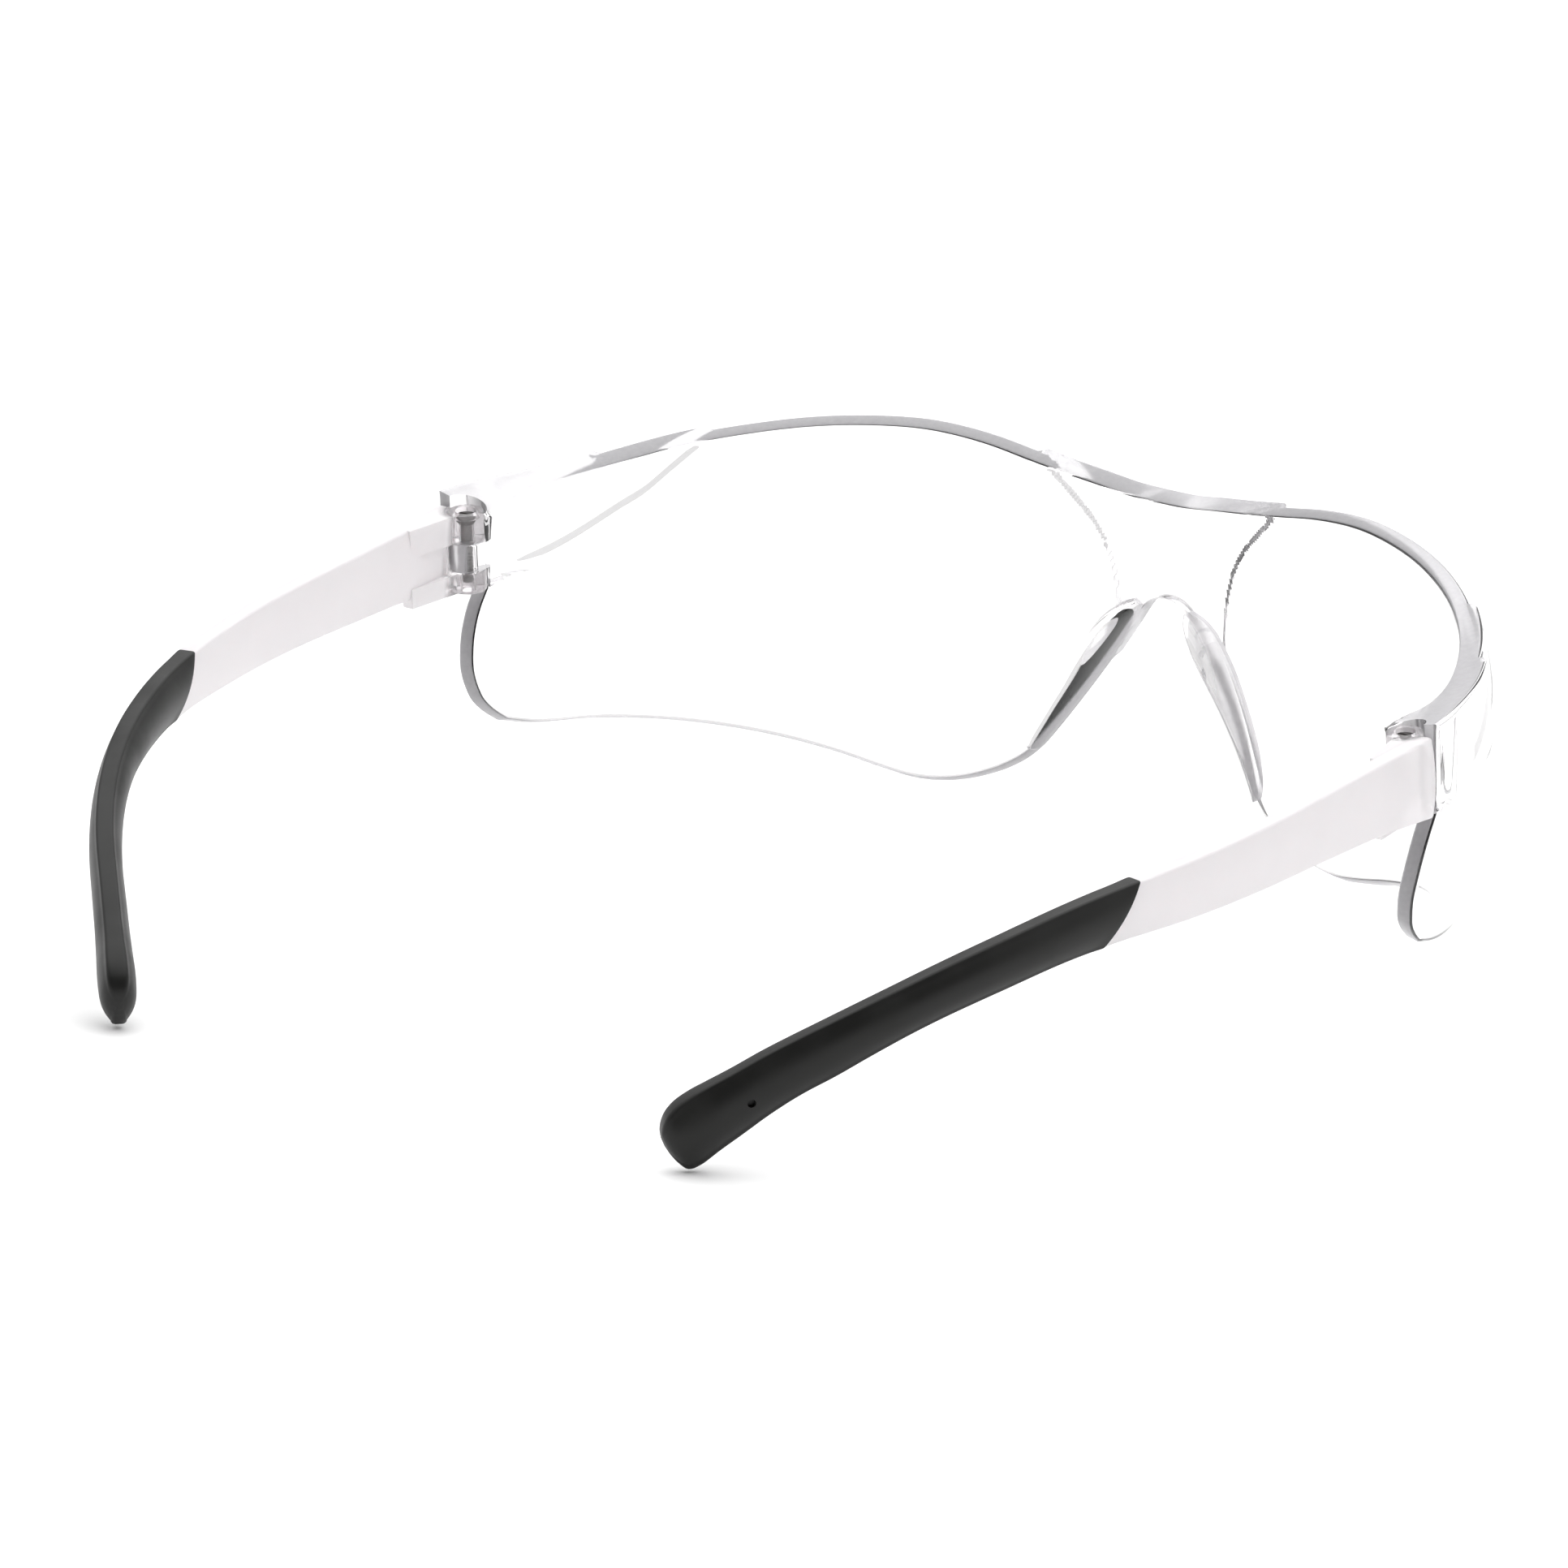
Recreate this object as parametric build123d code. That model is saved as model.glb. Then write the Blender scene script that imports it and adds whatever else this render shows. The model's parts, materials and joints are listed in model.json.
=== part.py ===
from build123d import *
from math import cos, pi, radians, sin, tan
import os

# Wrap-around safety glasses: one clear moulded lens with its own nosepiece, two
# frosted side arms on screw hinges, and a rubber grip moulded over each arm's end.
# Millimetres. X to the wearer's right, Y forward, Z up from the table that the open
# glasses rest on. The model is laid out with Y = 0 on the line through both hinges.

# ---- driving dimensions: lens ----
hinge_half_width = 67.0      # centre plane to each hinge screw
hinge_height = 34.4          # top of each hinge screw above the table
lens_radius = 49.5           # outer face, both ways round each eye
lens_wall = 2.1
lens_depth_offset = 0.45     # centre of the eye curves ahead of the hinge line
lens_centre_height = 23.4
screw_inset = 1.9            # lens outer face outboard of the screw axis
eye_half_spacing = 30.6      # centre plane to the lowest and highest part of an eye
brow_height = 43.9           # top rim over each eye
brow_end_inset = 9.1         # where that rim falls away to the hinge, in from the screw
brow_end_drop = 4.1
bridge_height = 40.3         # top rim over the nose
cheek_height = 6.2           # lower rim beside the cheek
cheek_inset = 5.7            # its outer end, in from the screw
rear_edge_ahead = 1.2        # hindmost part of the lens's rear edge, ahead of the screw
notch_apex_height = 27.1
notch_apex_radius = 4.2
notch_half_angle = 32.4      # each side of the nose notch from vertical
notch_foot_height = 6.8

# ---- driving dimensions: raised pads and nosepiece ----
bridge_pad_step = 0.7        # bridge band stands proud of the lens face
bridge_pad_half_top = 16.9
bridge_pad_half_bottom = 7.9
wing_pad_step = 0.8          # band along each temple side of the lens
wing_pad_reach = 30.3        # how far ahead of the hinge that band runs
wing_pad_drop = 9.2          # lower edge of that band at the hinge, below the screw's top
nose_flange_wall = 2.0
nose_flange_depth = 4.2      # behind the lens's inner face, at its top end
nose_flange_foot_depth = 1.6
nose_flange_top = 25.8
flange_overlap = 0.8         # nosepiece walls start inside the lens's own thickness

# ---- driving dimensions: hinges ----
temple_fall = 6.0            # degrees: arms run down to the rear, screws lean with them
knuckle_radius = 2.2
top_knuckle = 3.5            # heights of the three knuckles, from the top down
middle_knuckle = 3.5
bottom_knuckle = 2.5
knuckle_rise = 0.5           # top knuckle's rim above the screw head
knuckle_gap = 0.15           # between knuckles, along the screw
hinge_web_length = 9.0       # arm swells inwards to its knuckles over this length
swing_gap = 0.3              # round the knuckles, for the swing
screw_radius = 0.7
screw_head_radius = 1.2
screw_head_cone = 0.8
screw_head_rim = 0.25
screw_length = 8.2
screw_slot_width = 0.35
screw_slot_depth = 0.4
running_clearance = 0.05     # screw in the lens knuckle, per side
butt_gap = 0.2               # arm's front end to the lens when open
hinge_block_roof = 1.0       # lens end carries on above the knuckles, then is trimmed

# ---- driving dimensions: arms and grips ----
arm_reach = 106.3            # hinge screw to the far end of the grip
arm_offset = 2.8             # arm's middle plane outboard of the screw
arm_thickness = 3.0
grip_thickness = 3.6
grip_length = 55.3
ear_bend_radius = 130.7      # gentle bend, then a tighter one, then straight
ear_bend_angle = 18.0
hook_bend_radius = 69.0
hook_end_angle = 41.0
hook_straight = 17.6
core_thickness = 1.4         # tongue of the arm inside the grip
core_cover = 1.9             # rubber above, below and behind the tongue
core_root = 8.0              # length of tongue left buried in the arm ahead of the rubber
seam_bulge = 5.3             # how far the line between arm and rubber leans back
pin_mark_radius = 0.5        # hole left in the rubber by the mould's core pin
pin_mark_from_end = 9.5
pin_mark_height = -15.4      # below the top of the hinge screw, square to the arm

# ---- worked-out places ----
eye_centre_x = hinge_half_width + screw_inset - lens_radius
lens_front = lens_depth_offset + lens_radius
knuckle_stack = top_knuckle + middle_knuckle + bottom_knuckle + 2 * knuckle_gap
top_knuckle_floor = knuckle_rise - top_knuckle
middle_knuckle_top = top_knuckle_floor - knuckle_gap
middle_knuckle_floor = middle_knuckle_top - middle_knuckle
bottom_knuckle_top = middle_knuckle_floor - knuckle_gap
bottom_knuckle_floor = knuckle_rise - knuckle_stack
arm_outer = arm_offset + arm_thickness / 2
arm_inner = arm_offset - arm_thickness / 2
swing_radius = knuckle_radius + swing_gap
big = 200.0                  # longer than anything in the model

# Frame of the right hinge: origin on top of the screw, z up along it
hinge_place = Pos(hinge_half_width, 0, hinge_height) * Rot(temple_fall, 0, 0)


def slab(x0, x1, y0, y1, z0, z1):
    """Box between two corners."""
    middle = Pos((x0 + x1) / 2, (y0 + y1) / 2, (z0 + z1) / 2)
    return middle * Box(x1 - x0, y1 - y0, z1 - z0)


def drum(radius, z0, z1):
    """Upright cylinder about the frame's own z axis."""
    return Pos(0, 0, (z0 + z1) / 2) * Cylinder(radius, z1 - z0)


def front_prism(curves):
    """Shape seen from the front (x, z), carried through front to back."""
    return extrude(Plane.XZ * make_face(curves), big, both=True)


def both_sides(curves):
    """Curves of the right half of a front view, and the left half's with them."""
    return curves + [mirror(curve, Plane.YZ) for curve in curves]


def side_prism(curves):
    """Shape seen from the side (y, z), carried through side to side."""
    return extrude(Plane.YZ * make_face(curves), big, both=True)


# ---- lens ----
def capsule(radius):
    """Two eye spheres joined by a cylinder across the nose."""
    right_end = (eye_centre_x + radius, 0)
    left_end = (-right_end[0], 0)
    right_knee = (eye_centre_x, -radius)
    left_knee = (-eye_centre_x, -radius)
    bow = radius * cos(pi / 4)
    profile = make_face([
        ThreePointArc(left_end, (-eye_centre_x - bow, -bow), left_knee),
        Line(left_knee, right_knee),
        ThreePointArc(right_knee, (eye_centre_x + bow, -bow), right_end),
        Line(right_end, left_end),
    ])
    solid = revolve(profile, Axis.X, 360)
    return Pos(0, lens_depth_offset, lens_centre_height) * solid


def notch_tangent():
    """Point where the notch's round apex meets its straight side."""
    lean = radians(notch_half_angle)
    middle = notch_apex_height - notch_apex_radius
    return (notch_apex_radius * cos(lean), middle + notch_apex_radius * sin(lean))


def notch_side(height):
    """Half width of the nose notch at a height on its straight side."""
    x, z = notch_tangent()
    return x + (z - height) * tan(radians(notch_half_angle))


def front_outline():
    """Right half of the lens seen from the front, notch apex round to the bridge."""
    lean = radians(notch_half_angle)
    tangent = notch_tangent()
    foot = (notch_side(notch_foot_height), notch_foot_height)
    apex = (0, notch_apex_height)
    apex_middle = notch_apex_height - notch_apex_radius
    swing = (pi / 2 + lean) / 2
    on_apex = (notch_apex_radius * cos(swing), apex_middle + notch_apex_radius * sin(swing))
    cheek = (hinge_half_width - cheek_inset, cheek_height)
    brow_end = (hinge_half_width - brow_end_inset, brow_height - brow_end_drop)
    lowest = (eye_half_spacing, 0)
    highest = (eye_half_spacing + 0.9, brow_height)
    below = (hinge_half_width + 20, cheek_height - 7)
    above = (hinge_half_width + 20, brow_height + 6)
    return [
        ThreePointArc(apex, on_apex, tangent),
        Line(tangent, foot),
        Spline(foot, (foot[0] + 4.7, 2.8), lowest,
               tangents=[(sin(lean), -cos(lean)), (1, 0)]),
        Spline(lowest, (eye_half_spacing + 13.6, 2.6), cheek,
               tangents=[(1, 0), (1, 0.19)]),
        Line(cheek, below),
        Line(below, above),
        Line(above, brow_end),
        Spline(brow_end, (hinge_half_width - 20.4, brow_height - 1.4), highest,
               tangents=[(-1, 0.32), (-1, 0)]),
        Spline(highest, (eye_half_spacing - 10.8, brow_height - 1.3), (0, bridge_height),
               tangents=[(-1, 0), (-1, 0)]),
    ]


# Top rim beside the temple, seen from the side, and a place clear behind the hinge
side_rim = [(4.2, hinge_height + 1.6), (14.1, hinge_height + 2.7), (25.3, hinge_height + 5.0)]
behind_hinge = -6.0


def side_outline():
    """Lens seen from the side: rear edge, outer corner and the ends of both rims."""
    rim_start = (behind_hinge, hinge_height + 0.6)
    rim_end = (lens_front + 10, hinge_height + 25)
    band_floor = hinge_height - wing_pad_drop
    rear_top = (behind_hinge, band_floor)
    rear_step = (rear_edge_ahead + 3.4, band_floor)
    rear = [(rear_edge_ahead + 0.8, cheek_height + 13.9),
            (rear_edge_ahead, cheek_height + 8.4),
            (rear_edge_ahead + 1.4, cheek_height + 4.6)]
    corner = (rear_edge_ahead + 4.8, cheek_height + 1.9)
    cheek = (20.4, cheek_height)
    below = (lens_front + 10, cheek_height - 15)
    return [
        Spline(rim_start, *side_rim, tangents=[(1, 0.05), (1, 0.26)]),
        Line(side_rim[-1], rim_end),
        Line(rim_end, below),
        Line(below, cheek),
        Spline(cheek, corner, *reversed(rear), rear_step, tangents=[(-1, 0.07), (0.5, 1)]),
        Line(rear_step, rear_top),
        Line(rear_top, rim_start),
    ]


def bridge_pad():
    """Raised band over the nose, wide at the rim and narrow at the notch."""
    top = (bridge_pad_half_top, brow_height + 1)
    rim = (bridge_pad_half_top, bridge_height + 1.3)
    waist = (bridge_pad_half_bottom + 1.4, bridge_height - 7.8)
    low = (bridge_pad_half_bottom, notch_apex_height)
    foot = (bridge_pad_half_bottom, notch_apex_height - 10)
    band = [
        Line((0, top[1]), top),
        Line(top, rim),
        Spline(rim, waist, low, tangents=[(-1, -1), (0, -1)]),
        Line(low, foot),
        Line(foot, (0, foot[1])),
    ]
    in_front = slab(-big, big, lens_depth_offset, big, -big, big)
    return capsule(lens_radius + bridge_pad_step) & front_prism(both_sides(band)) & in_front


def wing_pads():
    """Raised bands that widen from a point on the top rim to each hinge."""
    rim = (wing_pad_reach, hinge_height + 5.5)
    above = (wing_pad_reach, brow_height + 10)
    rear_above = (behind_hinge, brow_height + 10)
    hinge_foot = (behind_hinge, hinge_height - wing_pad_drop)
    middle = (wing_pad_reach - 9.3, hinge_height - wing_pad_drop / 2)
    low = (wing_pad_reach - 22, hinge_height - wing_pad_drop + 1)
    band = [
        Line(rim, above),
        Line(above, rear_above),
        Line(rear_above, hinge_foot),
        Line(hinge_foot, low),
        Spline(low, middle, rim, tangents=[(1, 0.06), (0.5, 1)]),
    ]
    return capsule(lens_radius + wing_pad_step) & side_prism(band)


def nose_flange():
    """Right wall standing back from the notch edge, which bears on the nose."""
    lean = radians(notch_half_angle)
    top = (notch_side(nose_flange_top), nose_flange_top)
    foot = (notch_side(notch_foot_height + 0.5), notch_foot_height + 0.5)
    out = (nose_flange_wall * cos(lean), nose_flange_wall * sin(lean))
    strip = Polyline(top, foot, (foot[0] + out[0], foot[1] + out[1]),
                     (top[0] + out[0], top[1] + out[1]), close=True)
    inner_face = lens_front - lens_wall
    deepest = inner_face - nose_flange_depth
    foot_depth = inner_face - nose_flange_foot_depth
    depth = Polyline(
        (inner_face - flange_overlap, nose_flange_top + 3),
        (deepest, nose_flange_top - 2.5),
        (deepest, nose_flange_top - 6),
        (foot_depth - 1.4, notch_foot_height + 4),
        (foot_depth - 1, notch_foot_height - 2),
        (lens_front + 10, notch_foot_height - 2),
        (lens_front + 10, nose_flange_top + 3),
        close=True,
    )
    return front_prism(strip) & side_prism(depth) & capsule(lens_radius - lens_wall / 2)


def lens_hinge():
    """Thickened end of the lens with its single knuckle, in the hinge frame."""
    inner_corner = (-knuckle_radius, knuckle_radius + 1.2)
    inner_blend = (1 - screw_inset, knuckle_radius + 5.5)
    fairing_start = (0.3 - screw_inset, 16)
    butt_outer = (arm_outer, butt_gap)
    butt_inner = (arm_inner, butt_gap)
    block = make_face([
        Line((-knuckle_radius, 0), inner_corner),
        Line(inner_corner, inner_blend),
        Line(inner_blend, fairing_start),
        Spline(fairing_start, (2.4, 7.0), butt_outer, tangents=[(0.3, -1), (0, -1)]),
        Line(butt_outer, butt_inner),
        Line(butt_inner, (0, 0)),
        Line((0, 0), (-knuckle_radius, 0)),
    ])
    body = Pos(0, 0, bottom_knuckle_floor) * extrude(block, knuckle_stack + hinge_block_roof)
    body -= drum(swing_radius, middle_knuckle_top, big)
    body -= drum(swing_radius, -big, middle_knuckle_floor)
    knuckle = drum(knuckle_radius, middle_knuckle_floor, middle_knuckle_top)
    return body + knuckle


def lens():
    outlines = front_prism(both_sides(front_outline())) & side_prism(side_outline())
    outer = capsule(lens_radius) + bridge_pad() + wing_pads()
    shell = (outer & outlines) - capsule(lens_radius - lens_wall)
    side_cut = hinge_half_width / 2
    arm_floor = bottom_knuckle_floor - swing_gap
    behind_butt = slab(-side_cut, side_cut, -big, butt_gap, arm_floor, big)
    bore = drum(screw_radius + running_clearance, arm_floor, big)
    over_knuckle = drum(swing_radius, middle_knuckle_top, big)
    under_knuckle = drum(swing_radius, arm_floor, middle_knuckle_floor)
    under_rim = side_prism(Polyline(
        (-20, -20), (-20, hinge_height), side_rim[0], (30, hinge_height + 5.2), (30, -20),
        close=True))
    hinge_end = (hinge_place * lens_hinge()) & under_rim
    body = shell - hinge_place * behind_butt - mirror(hinge_place * behind_butt, Plane.YZ)
    flange = nose_flange()
    body = body + flange + mirror(flange, Plane.YZ)
    body = body + hinge_end + mirror(hinge_end, Plane.YZ)
    for tool in (bore, over_knuckle, under_knuckle):
        placed = hinge_place * tool
        body = body - placed - mirror(placed, Plane.YZ)
    return body


# ---- arms and grips, in the hinge frame ----
ear_turn = radians(ear_bend_angle)
hook_turn = radians(hook_end_angle)


def on_bend(middle, radius, turn):
    """Point on a bend, a turn on from where the bend runs straight back."""
    return (middle[0] + radius * cos(turn), middle[1] - radius * sin(turn))


def along_hook(start, distance):
    """Point further along the last straight stretch of the arm."""
    return (start[0] - distance * sin(hook_turn), start[1] - distance * cos(hook_turn))


bend_reach = ear_bend_radius * sin(ear_turn)
hook_reach = hook_bend_radius * (sin(hook_turn) - sin(ear_turn))
end_reach = hook_straight * cos(hook_turn) + grip_thickness / 2 * sin(hook_turn)
arm_straight = arm_reach - bend_reach - hook_reach - end_reach
ear_middle = (arm_offset - ear_bend_radius, -arm_straight)
bends_meet = on_bend(ear_middle, ear_bend_radius, ear_turn)
hook_middle = on_bend(bends_meet, -hook_bend_radius, ear_turn)
hook_start = on_bend(hook_middle, hook_bend_radius, hook_turn)


def arm_edge(side):
    """One face of the arm seen from above, a distance outboard of its middle."""
    ear = ear_bend_radius + side
    hook = hook_bend_radius + side
    front = (arm_offset + side, 0)
    start = on_bend(ear_middle, ear, 0)
    knee = on_bend(ear_middle, ear, ear_turn)
    bend_end = on_bend(hook_middle, hook, hook_turn)
    end = along_hook(bend_end, hook_straight)
    curves = [
        Line(front, start),
        ThreePointArc(start, on_bend(ear_middle, ear, ear_turn / 2), knee),
        ThreePointArc(knee, on_bend(hook_middle, hook, (ear_turn + hook_turn) / 2), bend_end),
        Line(bend_end, end),
    ]
    return curves, front, end


def arm_plan(thickness):
    """Arm seen from above: straight, then two bends inwards, then straight."""
    outer, outer_front, outer_end = arm_edge(thickness / 2)
    inner, inner_front, inner_end = arm_edge(-thickness / 2)
    ends = [Line(outer_front, inner_front), Line(outer_end, inner_end)]
    return Pos(0, 0, -big / 2) * extrude(make_face(outer + inner + ends), big)


def back(distance):
    """Place along the arm, measured forwards from the far end of the grip."""
    return -(arm_reach - distance)


# Upper and lower edges of the drooping end: distance from the end, height
droop_top = [(45.4, -0.35), (33.1, -2.1), (23.1, -4.8), (14.4, -8.1), (5.2, -12.9)]
droop_under = [(6.5, -20.6), (14.6, -15.6), (23.6, -11.1), (32.5, -8.1), (46.3, -6.9)]
level_end = 60.3
belly_height = -6.9


def arm_side():
    """Arm and grip seen from the side, drooping behind the ear."""
    front_top = (0, knuckle_rise)
    level = (back(level_end), knuckle_rise)
    top = [(back(place), height) for place, height in droop_top]
    under = [(back(place), height) for place, height in droop_under]
    heel = (-arm_reach, -19.0)
    toe = (back(2.4), -23.6)
    belly = (back(level_end), belly_height)
    front_bottom = (0, bottom_knuckle_floor)
    return side_prism([
        Line(front_top, level),
        Spline(level, *top, heel, tangents=[(-1, 0), (0.1, -1)]),
        Spline(heel, toe, tangents=[(0.1, -1), (1, 0.1)]),
        Spline(toe, *under, belly, tangents=[(1, 0.1), (1, 0)]),
        Spline(belly, (-8, -8.4), front_bottom, tangents=[(1, 0), (1, 0)]),
        Line(front_bottom, front_top),
    ])


def behind_seam():
    """Everything behind the curved line where frosted arm meets rubber."""
    start = back(grip_length) - 1
    over = (start, 12)
    under = (start - seam_bulge, -9)
    far_over = (-big, 12)
    far_under = (-big, -big)
    return side_prism([
        ThreePointArc(over, (start - 0.2, -2), under),
        Line(under, (under[0] - 10, -big)),
        Line((under[0] - 10, -big), far_under),
        Line(far_under, far_over),
        Line(far_over, over),
    ])


def arm_core():
    """Thin tongue of the arm that the rubber is moulded round."""
    level_top = (back(level_end), knuckle_rise - core_cover)
    level_under = (back(level_end), belly_height + core_cover)
    top = [(back(place), height - core_cover) for place, height in droop_top]
    under = [(back(place), height + core_cover) for place, height in droop_under]
    outline = side_prism([
        Spline(level_top, *top),
        Line(top[-1], under[0]),
        Spline(*under, level_under),
        Line(level_under, level_top),
    ])
    behind_root = slab(-big, big, -big, back(grip_length + core_root), -big, big)
    return arm_plan(core_thickness) & outline & behind_root


def grip():
    body = arm_plan(grip_thickness) & arm_side() & behind_seam()
    x, y = along_hook(hook_start, hook_straight - pin_mark_from_end)
    pin = Rot(0, 90, 0) * Cylinder(pin_mark_radius, 2 * grip_thickness)
    outboard = Pos(grip_thickness, 0, 0)
    pin_mark = Pos(x, y, pin_mark_height) * Rot(0, 0, -hook_end_angle) * outboard * pin
    return body - pin_mark - arm_core()


def arm():
    """Frosted arm with its two knuckles and the tongue inside the grip."""
    body = (arm_plan(arm_thickness) & arm_side()) - behind_seam()
    web = make_face(Polyline(
        (0, 0), (knuckle_radius, 0), (arm_offset, -hinge_web_length),
        (arm_inner, -hinge_web_length), (0, -knuckle_radius), close=True))
    fork = Pos(0, 0, bottom_knuckle_floor) * extrude(web, knuckle_stack)
    fork += drum(knuckle_radius, bottom_knuckle_floor, knuckle_rise)
    body = body + fork
    body -= drum(swing_radius, bottom_knuckle_top, top_knuckle_floor)
    body += arm_core()
    return body - screw_space()


def screw_shape(radius, head_radius, length):
    """Countersunk screw or the space for it, from the head's top down."""
    rim = screw_head_rim
    cone_floor = -(rim + screw_head_cone)
    profile = Polyline((0, 0), (head_radius, 0), (head_radius, -rim), (radius, cone_floor),
                       (radius, -length), (0, -length), close=True)
    return revolve(Plane.XZ * make_face(profile), Axis.Z, 360)


def screw_space():
    """Hole through the top knuckle and the threaded hole in the bottom one."""
    mouth = drum(screw_head_radius, -0.01, knuckle_rise + 1)
    return mouth + screw_shape(screw_radius, screw_head_radius, screw_length)


def screw():
    half_slot = screw_slot_width / 2
    slot = slab(-screw_head_radius, screw_head_radius, -half_slot, half_slot,
                -screw_slot_depth, 1)
    return screw_shape(screw_radius, screw_head_radius, screw_length) - slot


# ---- assembly ----
pieces = {"lens": lens().solid()}
for name, build in (("temple", arm), ("temple_tip", grip), ("hinge_screw", screw)):
    right = (hinge_place * build()).solid()
    pieces["right_" + name] = right
    pieces["left_" + name] = mirror(right, Plane.YZ)

# The origin is the middle of the footprint, on the table
boxes = [piece.bounding_box() for piece in pieces.values()]
rear = min(box.min.Y for box in boxes)
front = max(box.max.Y for box in boxes)
table = min(box.min.Z for box in boxes)
to_origin = Pos(0, -(rear + front) / 2, -table)

os.makedirs("parts", exist_ok=True)
for name, piece in pieces.items():
    export_step(to_origin * piece, "parts/" + name + ".step")
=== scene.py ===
import json
import math

import bmesh
import bpy
import numpy as np
from mathutils import Matrix, Vector


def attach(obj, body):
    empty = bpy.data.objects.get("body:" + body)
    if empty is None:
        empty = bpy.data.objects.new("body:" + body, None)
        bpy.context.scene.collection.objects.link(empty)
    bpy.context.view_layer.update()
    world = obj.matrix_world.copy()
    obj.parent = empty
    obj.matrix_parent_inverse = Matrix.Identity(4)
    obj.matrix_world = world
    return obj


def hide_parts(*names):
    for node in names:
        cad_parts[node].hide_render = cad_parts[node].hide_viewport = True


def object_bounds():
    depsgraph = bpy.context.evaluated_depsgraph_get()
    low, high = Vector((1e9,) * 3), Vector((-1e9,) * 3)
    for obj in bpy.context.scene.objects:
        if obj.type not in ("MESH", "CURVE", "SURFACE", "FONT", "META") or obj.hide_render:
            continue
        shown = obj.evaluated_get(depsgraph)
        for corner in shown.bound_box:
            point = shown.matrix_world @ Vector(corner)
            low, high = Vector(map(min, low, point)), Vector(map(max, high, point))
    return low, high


bl_info = {
    "name": "Safety Glasses",
    "version": (1, 0, 0),
    "blender": (4, 5, 0),
    "location": "View3D > Sidebar > Safety Glasses",
    "description": "Safety glasses with a clear lens, frosted arms, rubber grips and screws",
    "category": "Object",
}

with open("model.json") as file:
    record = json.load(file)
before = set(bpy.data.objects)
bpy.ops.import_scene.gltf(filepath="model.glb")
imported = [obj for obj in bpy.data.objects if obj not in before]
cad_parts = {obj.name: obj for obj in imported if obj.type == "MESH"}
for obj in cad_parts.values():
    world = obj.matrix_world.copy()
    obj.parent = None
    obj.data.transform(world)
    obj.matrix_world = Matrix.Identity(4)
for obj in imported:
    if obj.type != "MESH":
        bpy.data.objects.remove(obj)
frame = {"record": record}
CAD_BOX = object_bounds()
MM = 0.001
SIDES = {"right": 1, "left": -1}

JOINTS = {joint["name"]: joint for joint in frame["record"]["behaviour"]["joints"]}
HINGE = Vector(JOINTS["right_temple_hinge"]["pos_m"])
SCREW_UP = -Vector(JOINTS["right_temple_hinge"]["axis"])


# ---------------------------------------------------------------- shader expressions
class Value:
    """A number on a shader socket. Arithmetic on it adds Math nodes."""

    def __init__(self, finish, socket):
        self.finish, self.socket = finish, socket

    def _math(self, operation, *terms):
        settings = {"operation": operation}
        return self.finish.node("ShaderNodeMath", settings, *terms)["Value"]

    def __add__(self, other):
        return self._math("ADD", self, other)

    __radd__ = __add__

    def __sub__(self, other):
        return self._math("SUBTRACT", self, other)

    def __rsub__(self, other):
        return self._math("SUBTRACT", other, self)

    def __mul__(self, other):
        return self._math("MULTIPLY", self, other)

    __rmul__ = __mul__

    def __truediv__(self, other):
        return self._math("DIVIDE", self, other)

    def __pow__(self, other):
        return self._math("POWER", self, other)

    def above(self, low, high):
        """0 below low, 1 above high, and smooth between."""
        settings = {"interpolation_type": "SMOOTHSTEP"}
        return self.finish.node("ShaderNodeMapRange", settings,
                                Value=self, **{"From Min": low, "From Max": high})["Result"]


class Finish:
    """A material under construction."""

    def __init__(self, name, colour):
        self.material = bpy.data.materials.new(name)
        self.material.use_nodes = True
        self.material.diffuse_color = (*colour[:3], 1.0)
        self.tree = self.material.node_tree
        self.tree.nodes.clear()

    def node(self, kind, settings=None, *values, **named):
        """Adds a node: its settings, then its sockets' values or links. Returns its outputs."""
        node = self.tree.nodes.new(kind)
        for key, value in (settings or {}).items():
            if key == "stops":
                self._stops(node.color_ramp, value)
            else:
                setattr(node, key, value)
        for socket, value in zip(node.inputs, values):
            self._fill(socket, value)
        for key, value in named.items():
            self._fill(self._socket(node.inputs, key), value)
        return {out.name: Value(self, out) for out in node.outputs if out.enabled}

    def _socket(self, sockets, key):
        return next(s for s in sockets if s.enabled and key in (s.identifier, s.name))

    def _fill(self, socket, value):
        if isinstance(value, Value):
            self.tree.links.new(value.socket, socket)
        else:
            socket.default_value = value

    def _stops(self, ramp, stops):
        while len(ramp.elements) > 1:
            ramp.elements.remove(ramp.elements[-1])
        for count, (place, shade) in enumerate(stops):
            stop = ramp.elements[0] if count == 0 else ramp.elements.new(place)
            stop.position = place
            stop.color = (*shade, 1.0)

    def place(self):
        """Place in the object, in metres."""
        return self.node("ShaderNodeTexCoord")["Object"]

    def noise(self, size, detail=2.0, roughness=0.5):
        """Even noise from 0 to 1 whose lumps are a size in metres."""
        return self.node("ShaderNodeTexNoise", None, Vector=self.place(), Scale=1.0 / size,
                         Detail=detail, Roughness=roughness)["Fac"]

    def mix(self, factor, first, second):
        """Blend of two colours."""
        return self.node("ShaderNodeMix", {"data_type": "RGBA"}, Factor_Float=factor,
                         A_Color=first, B_Color=second)["Result"]

    def bump(self, height, distance, strength):
        """Surface normal tilted by a height, for a relief of a distance in metres."""
        return self.node("ShaderNodeBump", None, Height=height, Distance=distance,
                         Strength=strength)["Normal"]

    def plastic(self, **sockets):
        return self.node("ShaderNodeBsdfPrincipled", None, **sockets)["BSDF"]

    def partly(self, factor, first, second):
        """Blend of two shaders."""
        return self.node("ShaderNodeMixShader", None, factor, first, second)["Shader"]

    def finished(self, shader):
        """The material, with a shader as its surface."""
        self.node("ShaderNodeOutputMaterial", None, Surface=shader)
        return self.material


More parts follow.
